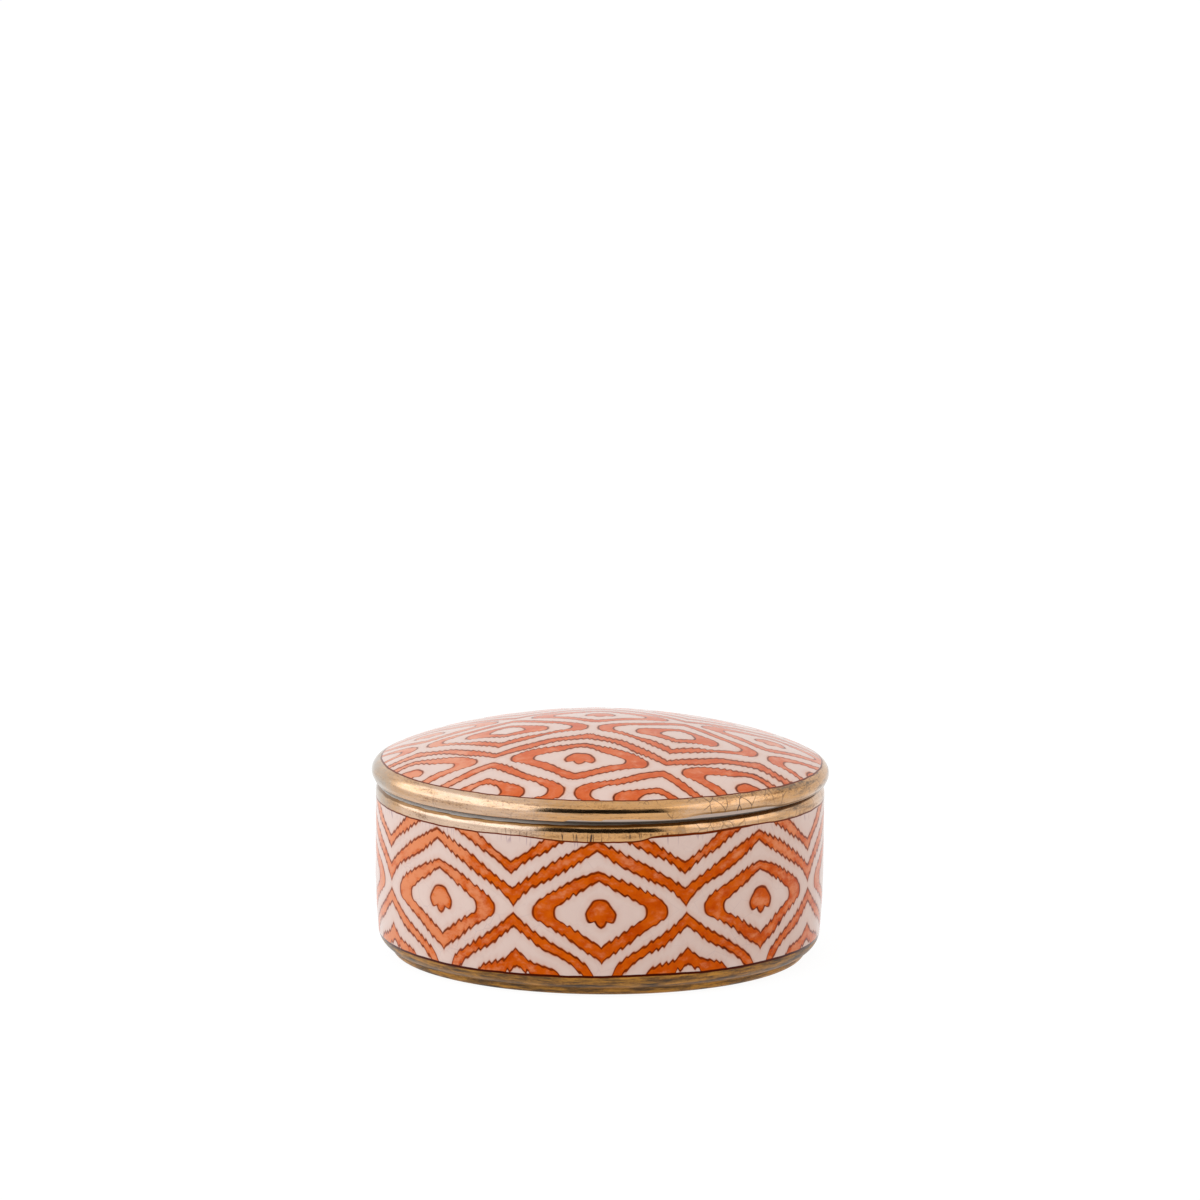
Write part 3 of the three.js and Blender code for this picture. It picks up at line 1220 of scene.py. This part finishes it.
    def dress(self, bowl: bpy.types.Object) -> None:
        """Gives the bowl its finishes.

        Args:
            bowl: The bowl.
        """
        glaze = GlazeMaterial("painted_bowl_glaze")
        place = glaze.place
        ragged = place.clouds(7, detail=2, rough=0.6, salt=81.0)
        upper_rim = place.x.along(self.gold_top) + ragged * 0.15 - place.z
        lower_rim = place.z + ragged * 0.15 - place.x.along(self.gold_edge)
        under_line = lower_rim + place.x.along(self.line_width)
        cracked = place.x.fade(*self.cracks_start) * place.x.fade(*self.cracks_end)
        band = Gilding(
            metal=glaze.lustre.gold,
            gold=upper_rim.fade(-SOFT_EDGE, SOFT_EDGE) * lower_rim.fade(-SOFT_EDGE, SOFT_EDGE),
            border=under_line.fade(-0.1, 0.1) * upper_rim.fade(-SOFT_EDGE, SOFT_EDGE),
            thin=(upper_rim + ragged * 0.1).fade(1.1, 0.7) * 0.9,
            cream=place.x.along(self.cream),
            worn=place.x.along(self.worn),
            cracked=cracked * place.z.fade(*self.cracks_top),
        )
        above_foot = place.z - place.x.along(self.foot_edge)
        foot = Gilding(
            metal=glaze.lustre.foot_gold,
            gold=(above_foot + ragged * 0.12).fade(*self.foot_gap),
            border=(above_foot + ragged * 0.1).fade(SOFT_EDGE, -SOFT_EDGE),
            thin=0.0,
            cream=place.clouds(8, detail=3, rough=0.6, flat=7, salt=83.0) * 0.4 - 0.2,
            worn=place.clouds(9, detail=3, rough=0.6, flat=8, salt=85.0) * 0.45 + 0.4,
            streaked=1.0,
            shine=0.5,
            line=glaze.lustre.foot_line,
        )
        wall = WallPattern().distance(place)
        unpainted = place.z.fade(*self.pattern_top, -4.0, 5.0)
        lip_shade = place.z.fade(*self.shaded_lip)
        seam = place.z.fade(*self.seam) * place.radius().fade(*self.seam_shade_radii)
        below_band = (lower_rim + ragged * 1.2).fade(*self.seeping)
        # The stain under the band is real; the grey lip, its darkening to the right and the dark seam under
        # the lid are painted shade
        overlays = [
            StainAndShade(upright_cracks(place) * below_band * wall.fade(0.3, 0.6) * 0.55, glaze.overlay_colours.seeped),
            StainAndShade(lip_shade * 0.8, glaze.overlay_colours.shaded_lip),
            StainAndShade(lip_shade * place.x.fade(*self.darker_lip_shade) * 0.85, glaze.overlay_colours.darker_lip_shade),
            StainAndShade(seam * 0.85, glaze.overlay_colours.seam),
        ]
        bowl.data.materials.append(glaze.painted(wall.most(unpainted), [foot, band], overlays))
        bowl.data.materials.append(GlazeMaterial("inside_glaze").plain(WhiteGlaze()))
        bowl.data.materials.append(GlazeMaterial("unglazed_foot").plain(BareClay()))


@dataclass(frozen=True)
class Lid:
    """The domed lid with its rim bead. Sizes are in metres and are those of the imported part."""

    bead_radius: float
    seat: float = MOUTH_HEIGHT * MM
    bead_depth: float = 5.6 * MM
    bead_half_height: float = 4.25 * MM
    bead_lift: float = 2.95 * MM
    dome_inset: float = 2.7 * MM
    dome_rise: float = 14 * MM
    dome_curve: tuple[float, ...] = (1.12, -0.26, -0.12, 0.26)  # of the drop, by power of the radius squared
    edge: float = 0.8 * MM
    thickness: float = 5 * MM
    flange_radius: float = 67.5 * MM
    flange_depth: float = 5 * MM
    flange_thickness: float = 3.4 * MM
    flange_edge: float = 1.1 * MM
    crown_corner: float = 4 * MM
    paint: OrangeWash = OrangeWash(  # thinner and paler than on the bowl
        deep=linear(208, 84, 28),
        middle=linear(222, 108, 56),
        pale=linear(234, 152, 116),
        stain=linear(206, 120, 66),
        outline=linear(126, 46, 0),
        dark_outline=linear(84, 24, 0),
        sheen=(1.0, 0.45, 0.12, 1.0),
        outline_width=0.56,
        paler_at_back=1.0,
        thin_at_top=0.0,
    )
    gold_edge: Line = Line(  # height of the gold's lower edge across the box, in millimetres
        (-74, 57.7), (-12, 57.7), (-9, 58.4), (0, 58.2), (2, 58.8), (12, 58.7), (22, 58.2),
        (35, 59.2), (52, 59.0), (60, 57.8), (74, 57.7),
    )
    cream: Line = Line(  # how far the bead's gold turns cream across the box: worn gold, and on the left a painted highlight
        (-74, 0.1), (-62, 0.45), (-45, 0.7), (-24, 0.6), (-10, 0.15), (20, 0.05), (32, 0.4),
        (50, 0.4), (58, 0.25), (74, 0.1),
    )
    worn: Line = Line(  # how much of it has dull grey strokes across the box
        (-74, 0.6), (-60, 0.35), (-25, 0.3), (-8, 0.65), (8, 0.6),
        (25, 0.3), (50, 0.5), (60, 0.85), (74, 0.9),
    )
    gold_start: Point = (72.0, 72.15)  # radii over which the bead's gold starts, in millimetres
    line_start: Point = (71.5, 71.65)  # radii over which the brown line inside it starts
    line_foot: Point = (61.0, 61.2)  # heights over which that line ends, under the bead's middle
    pattern_foot: Point = (62.0, 61.8)  # heights over which the pattern ends
    bead_underside_shade: Point = (60.0, 59.5)  # heights over which the bead's underside turns grey with painted shade
    seam: Point = (58.2, 57.9)  # heights over which the painted shade at the bowl's mouth starts

    @property
    def bead_centre(self) -> Point:
        """Radius and height of the middle of the bead's section."""
        return self.bead_radius - self.bead_depth, self.seat + self.bead_lift

    @property
    def dome_radius(self) -> float:
        """Radius where the dome meets the bead."""
        return self.bead_radius - self.dome_inset

    def _bead_angle(self, radius: float) -> float:
        """Returns the angle on the bead's section where it has a radius."""
        return math.acos((radius - self.bead_centre[0]) / self.bead_depth)

    def _bead_point(self, angle: float) -> Point:
        """Returns the radius and height of the bead's face at an angle of its section."""
        radius, height = self.bead_centre
        return radius + self.bead_depth * math.cos(angle), height + self.bead_half_height * math.sin(angle)

    def _dome_point(self, radius: float, depth: float = 0.0) -> Point:
        """Returns a radius and the height there, at a depth below the dome's outer face.

        Args:
            radius: Distance from the axis, in metres.
            depth: How far under the outer face, in metres.

        Returns:
            The radius and the height.
        """
        share = (radius / self.dome_radius) ** 2
        drop = sum(part * share ** (power + 1) for power, part in enumerate(self.dome_curve))
        edge_height = self._bead_point(self._bead_angle(self.dome_radius))[1]
        return radius, edge_height + self.dome_rise * (1 - drop) - depth

    def _draw_hollow(self, piece: TurnedPiece) -> None:
        """Draws the hollow under the crown, the flange and the seat.

        Args:
            piece: The piece being drawn.
        """
        inner = self.flange_radius - self.flange_thickness
        corner = self.crown_corner
        foot = self.seat - self.flange_depth + self.flange_edge
        piece.curve(lambda share: self._dome_point((inner - corner) * share, self.thickness), steps=24)
        piece.round_corner((inner - corner, piece.tip.co.z - corner), -QUARTER, steps=10)
        piece.line_to(inner, foot)
        piece.round_corner((inner + self.flange_edge, foot), QUARTER, steps=6)
        piece.line_to(self.flange_radius - self.flange_edge, foot - self.flange_edge)
        piece.round_corner((self.flange_radius - self.flange_edge, foot), QUARTER, steps=6)
        piece.line_to(self.flange_radius, self.seat)
        piece.turn(Surface.PLAIN)

    def _draw_outside(self, piece: TurnedPiece) -> None:
        """Draws the seat, the bead and the dome.

        Args:
            piece: The piece being drawn.
        """
        start = math.asin((self.edge - self.bead_lift) / self.bead_half_height)
        end = self._bead_angle(self.dome_radius)
        radius = self._bead_point(start)[0] - self.edge
        piece.line_to(radius, self.seat)
        piece.round_corner((radius, self.seat + self.edge), QUARTER, steps=8)
        piece.curve(lambda share: self._bead_point(start + (end - start) * share), steps=36)
        piece.curve(lambda share: self._dome_point(self.dome_radius * (1 - share)), steps=72)
        piece.turn(Surface.PAINTED)

    def build(self) -> bpy.types.Object:
        """Models the lid.

        Returns:
            The lid.
        """
        piece = TurnedPiece(*self._dome_point(0, self.thickness))
        self._draw_hollow(piece)
        self._draw_outside(piece)
        return piece.finished("painted_lid")

    def dress(self, lid: bpy.types.Object) -> None:
        """Gives the lid its finishes.

        Args:
            lid: The lid.
        """
        glaze = GlazeMaterial("painted_lid_glaze", self.paint)
        place = glaze.place
        ragged = place.clouds(8, detail=2, rough=0.6, salt=91.0)
        radius = place.radius() - place.x.fade(30, 72, 0.0, 0.9)
        gold_top = (radius + ragged * 0.2).fade(*self.gold_start)
        bare = place.z + ragged * 0.12 - place.x.along(self.gold_edge)
        gold_foot = bare.fade(-SOFT_EDGE, SOFT_EDGE)
        gilding = Gilding(
            metal=glaze.lustre.gold,
            gold=gold_top * gold_foot,
            border=(radius + ragged * 0.18).fade(*self.line_start) * place.z.fade(*self.line_foot),
            thin=bare.fade(0.9, 0.4) * place.x.fade(26, 36, 0.0, 0.8),
            cream=place.x.along(self.cream),
            worn=place.x.along(self.worn),
            cracked=place.z.fade(62.8, 64.0, 0.0, 0.8) * place.x.fade(-15, 5) * place.x.fade(64, 50),
            pitted=place.x.fade(40, 62, 0.0, 0.8) * place.z.fade(60.8, 62.8),
        )
        unpainted = place.z.fade(*self.pattern_foot, -5.0, 5.0)
        seam = place.z.fade(*self.seam) * place.z.fade(MOUTH_HEIGHT, MOUTH_HEIGHT + 0.1)
        # The grey of the bead's underside and the dark seam at its lower edge are painted shade
        overlays = [
            StainAndShade(place.z.fade(*self.bead_underside_shade) * 0.6, glaze.overlay_colours.bead_underside_shade),
            StainAndShade(seam * 0.9, glaze.overlay_colours.seam),
        ]
        dome = LidPattern().distance(place)
        lid.data.materials.append(glaze.painted(dome.most(unpainted), [gilding], overlays))
        lid.data.materials.append(GlazeMaterial("underside_glaze").plain(WhiteGlaze()))


# The room


@dataclass(frozen=True)
class Studio:
    """The pale floor, the soft lights, the dark card that gloss picks up, and the camera."""

    floor_size: float = 8.0
    camera_distance: float = 2.381
    camera_elevation: float = 11.55
    aim_height: float = 40.19 * MM
    lens: float = 217.2
    above_middle: float = 230.0  # how far under the middle of the picture the aim shows, in pixels
    beside_middle: float = -0.15
    roll: float = 0.507
    picture: float = 1200.0
    sensor: float = 36.0
    floor_drop: float = 0.05 * MM  # how far the floor lies under the foot, so that they never mix
    floor_colour: Rgba = (0.75, 0.75, 0.75, 1.0)
    floor_glow: float = 1.1
    floor_glowing: float = 0.85  # how much of the glow the camera and gloss see
    card_colour: Rgba = (0.01, 0.008, 0.007, 1.0)

    def floor(self) -> bpy.types.Object:
        """Lays the floor.

        Returns:
            The floor.
        """
        grid = bmesh.new()
        bmesh.ops.create_grid(grid, x_segments=1, y_segments=1, size=self.floor_size / 2)
        bmesh.ops.translate(grid, vec=(0, 0, -self.floor_drop), verts=grid.verts[:])
        mesh = bpy.data.meshes.new("floor")
        grid.to_mesh(mesh)
        grid.free()
        floor = bpy.data.objects.new("floor", mesh)
        bpy.context.scene.collection.objects.link(floor)
        mesh.materials.append(self._floor_material())
        return floor

    def _looked_at(self, tree: bpy.types.NodeTree) -> Field:
        """Returns 1 where a thing is seen, in gloss or through glass too, and 0 where it only lights."""
        rays = tree.nodes.new("ShaderNodeLightPath")
        seen = Field(tree, rays.outputs["Is Camera Ray"]).most(Field(tree, rays.outputs["Is Glossy Ray"]))
        return seen.most(Field(tree, rays.outputs["Is Transmission Ray"]))

    def _floor_material(self) -> bpy.types.Material:
        """Returns a pale matt material that the camera sees as nearly white."""
        material = bpy.data.materials.new("pale_floor")
        material.use_nodes = True
        tree = material.node_tree
        tree.nodes.clear()
        matt = tree.nodes.new("ShaderNodeBsdfDiffuse")
        matt.inputs["Color"].default_value = self.floor_colour
        white = tree.nodes.new("ShaderNodeEmission")
        white.inputs["Color"].default_value = WHITE
        white.inputs["Strength"].default_value = self.floor_glow
        blend = tree.nodes.new("ShaderNodeMixShader")
        feed(self._looked_at(tree) * self.floor_glowing, blend.inputs[0])
        tree.links.new(matt.outputs[0], blend.inputs[1])
        tree.links.new(white.outputs[0], blend.inputs[2])
        output = tree.nodes.new("ShaderNodeOutputMaterial")
        tree.links.new(blend.outputs[0], output.inputs["Surface"])
        return material

    def world(self, lit: float) -> None:
        """Fills the room with white light.

        Args:
            lit: Strength of the light on the object.
        """
        world = bpy.data.worlds.new("white_room")
        bpy.context.scene.world = world
        world.use_nodes = True
        tree = world.node_tree
        background = tree.nodes["Background"]
        background.inputs["Color"].default_value = WHITE
        feed(self._looked_at(tree) * (1.0 - lit) + lit, background.inputs["Strength"])

    def lamp(self, name: str, place: Point3, size: Point, power: float, colour: Point3) -> None:
        """Hangs a soft light that faces the box.

        Args:
            name: Its name.
            place: Its place, in metres.
            size: Its width and height, in metres.
            power: Its power, in watts.
            colour: Its colour.
        """
        data = bpy.data.lights.new(name, "AREA")
        data.color = colour
        data.shape = "RECTANGLE"
        data.size, data.size_y = size
        data.energy = power
        lamp = bpy.data.objects.new(name, data)
        lamp.location = place
        lamp.rotation_mode = "QUATERNION"
        aim = Vector((0, 0, self.aim_height)) - Vector(place)
        lamp.rotation_quaternion = aim.to_track_quat("-Z", "Y")
        bpy.context.scene.collection.objects.link(lamp)

    def dark_card(self, distance: float, bearings: Point, heights: Point) -> bpy.types.Object:
        """Hangs a dark card in front of the box, which the gold picks up as a thin line.

        Args:
            distance: How far in front it hangs, in metres.
            bearings: Where it starts and ends, in degrees to the right of the front.
            heights: Heights of its lower and upper edges, in metres.

        Returns:
            The card.
        """
        card = bmesh.new()
        left, right = (math.radians(bearing) for bearing in bearings)
        low, high = heights
        foot = card.verts.new((distance * math.sin(left), -distance * math.cos(left), low))
        bmesh.ops.spin(
            card, geom=[foot], cent=(0, 0, 0), axis=(0, 0, 1), angle=right - left, steps=24, use_merge=False
        )
        risen = bmesh.ops.extrude_edge_only(card, edges=card.edges[:])
        tops = [part for part in risen["geom"] if isinstance(part, bmesh.types.BMVert)]
        bmesh.ops.translate(card, vec=(0, 0, high - low), verts=tops)
        mesh = bpy.data.meshes.new("dark_card")
        card.to_mesh(mesh)
        card.free()
        piece = bpy.data.objects.new("dark_card", mesh)
        bpy.context.scene.collection.objects.link(piece)
        piece.visible_camera = False
        piece.visible_shadow = False
        piece.visible_diffuse = False
        material = bpy.data.materials.new("dark_card")
        material.use_nodes = True
        shader = material.node_tree.nodes["Principled BSDF"]
        shader.inputs["Base Color"].default_value = self.card_colour
        shader.inputs["Roughness"].default_value = 1.0
        mesh.materials.append(material)
        return piece

    def camera(self) -> None:
        """Sets up the camera at the photograph's angle."""
        data = bpy.data.cameras.new("camera")
        data.lens = self.lens
        data.sensor_width = self.sensor
        data.clip_start, data.clip_end = 0.05, 50
        camera = bpy.data.objects.new("camera", data)
        tilt = math.radians(self.camera_elevation)
        back = Vector((0, -math.cos(tilt), math.sin(tilt)))
        camera.location = Vector((0, 0, self.aim_height)) + back * self.camera_distance
        pixels = self.lens / self.sensor * self.picture
        roll = math.radians(self.roll)
        down = self.above_middle * math.cos(roll) + self.beside_middle * math.sin(roll)
        side = self.beside_middle * math.cos(roll) + self.above_middle * math.sin(roll)
        pitch = tilt - math.atan(down / pixels)
        yaw = math.atan(side / pixels)
        facing = Matrix.Rotation(yaw, 3, "Z") @ Matrix.Rotation(QUARTER - pitch, 3, "X")
        camera.rotation_mode = "QUATERNION"
        camera.rotation_quaternion = (facing @ Matrix.Rotation(roll, 3, "Z")).to_quaternion()
        bpy.context.scene.collection.objects.link(camera)
        bpy.context.scene.camera = camera


def main() -> None:
    """Builds the box and the room round it."""
    logging.basicConfig(level=logging.INFO, format="%(name)s: %(message)s")
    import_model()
    lid_low, lid_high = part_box("lid")

    bowl_maker = Bowl()
    lid_maker = Lid(bead_radius=(lid_high.x - lid_low.x) / 2)
    for maker, body, node in ((bowl_maker, "base", "bowl"), (lid_maker, "lid", "lid")):
        piece = maker.build()
        maker.dress(piece)
        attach(piece, body)
        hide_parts(node)
        LOG.info("%s: %d faces, rides on %s", piece.name, len(piece.data.polygons), body)

    studio = Studio()
    floor = studio.floor()
    card = studio.dark_card(distance=2.2, bearings=(-33, 33), heights=(0.02, 2.05))
    studio.world(lit=0.7)
    studio.lamp("left_window", (-2.65, -0.5, 1.6), size=(6.4, 3.2), power=74, colour=(0.85, 0.96, 1.05))
    studio.lamp("right_soft_light", (2.3, -0.5, 1.7), size=(2.8, 2.2), power=13, colour=(1, 1, 1))
    studio.camera()
    bpy.context.scene.view_settings.view_transform = "Standard"

    LOG.info("floor, card, lights and camera are set")


if __name__ == "__main__":
    main()
